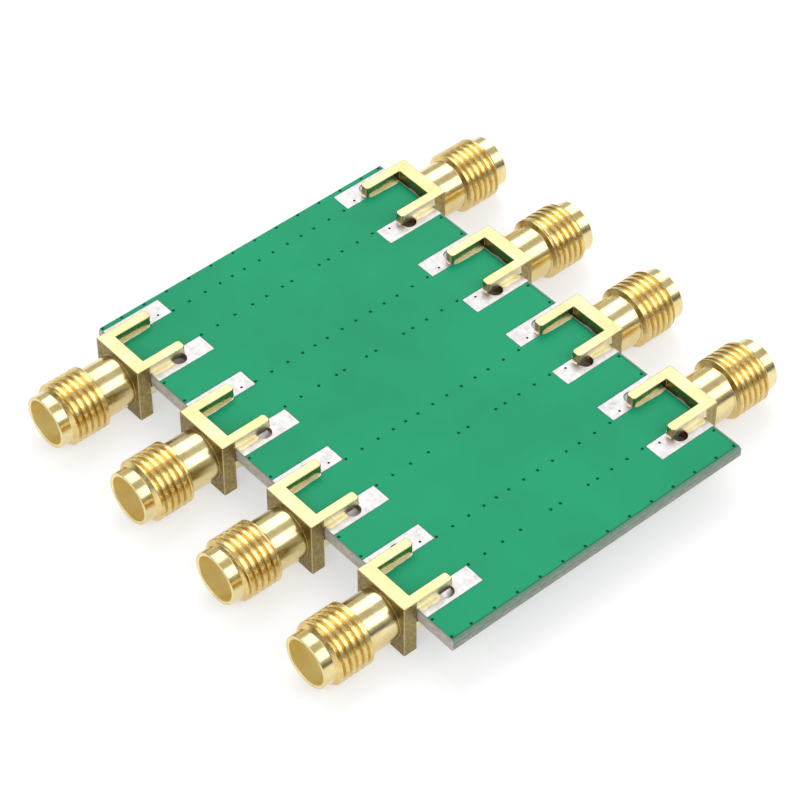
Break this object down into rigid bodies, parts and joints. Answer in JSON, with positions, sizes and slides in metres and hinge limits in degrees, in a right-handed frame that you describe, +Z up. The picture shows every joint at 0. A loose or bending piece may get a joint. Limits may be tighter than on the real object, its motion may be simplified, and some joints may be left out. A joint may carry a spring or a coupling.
{
  "type": "fixed attenuator board",
  "caption": "Circuit board with chip resistor networks on one side and a threaded coaxial jack at both ends of every channel.",
  "frame": {"origin": "under the middle of the board, on the plane that the flanges rest on", "axes": "+X across the channels, +Y along them towards the back jacks, +Z up out of the board's ground side"},
  "size_m": [0.0508, 0.0556, 0.0063],
  "materials": {
    "masked_laminate": "satin",
    "tinned_copper": "satin",
    "gold_plated_brass": "gloss",
    "white_fluoropolymer": "matte",
    "resistor_ceramic": "satin"
  },
  "bodies": {
    "root": {"back_contact_1": "gold_plated_brass", "back_contact_2": "gold_plated_brass", "back_contact_3": "gold_plated_brass", "back_contact_4": "gold_plated_brass", "back_insulator_1": "white_fluoropolymer", "back_insulator_2": "white_fluoropolymer", "back_insulator_3": "white_fluoropolymer", "back_insulator_4": "white_fluoropolymer", "back_shell_1": "gold_plated_brass", "back_shell_2": "gold_plated_brass", "back_shell_3": "gold_plated_brass", "back_shell_4": "gold_plated_brass", "back_shunt_resistor_1": "resistor_ceramic", "back_shunt_resistor_2": "resistor_ceramic", "back_shunt_resistor_3": "resistor_ceramic", "back_shunt_resistor_4": "resistor_ceramic", "circuit_board": "masked_laminate", "front_contact_1": "gold_plated_brass", "front_contact_2": "gold_plated_brass", "front_contact_3": "gold_plated_brass", "front_contact_4": "gold_plated_brass", "front_insulator_1": "white_fluoropolymer", "front_insulator_2": "white_fluoropolymer", "front_insulator_3": "white_fluoropolymer", "front_insulator_4": "white_fluoropolymer", "front_shell_1": "gold_plated_brass", "front_shell_2": "gold_plated_brass", "front_shell_3": "gold_plated_brass", "front_shell_4": "gold_plated_brass", "front_shunt_resistor_1": "resistor_ceramic", "front_shunt_resistor_2": "resistor_ceramic", "front_shunt_resistor_3": "resistor_ceramic", "front_shunt_resistor_4": "resistor_ceramic", "ground_pads": "tinned_copper", "line_pads": "tinned_copper", "line_resistor_1": "resistor_ceramic", "line_resistor_2": "resistor_ceramic", "line_resistor_3": "resistor_ceramic", "line_resistor_4": "resistor_ceramic", "lower_leg_pads": "tinned_copper", "resistor_caps_1": "tinned_copper", "resistor_caps_2": "tinned_copper", "resistor_caps_3": "tinned_copper", "resistor_caps_4": "tinned_copper", "resistor_lands_1": "tinned_copper", "resistor_lands_2": "tinned_copper", "resistor_lands_3": "tinned_copper", "resistor_lands_4": "tinned_copper"}
  },
  "joints": []
}
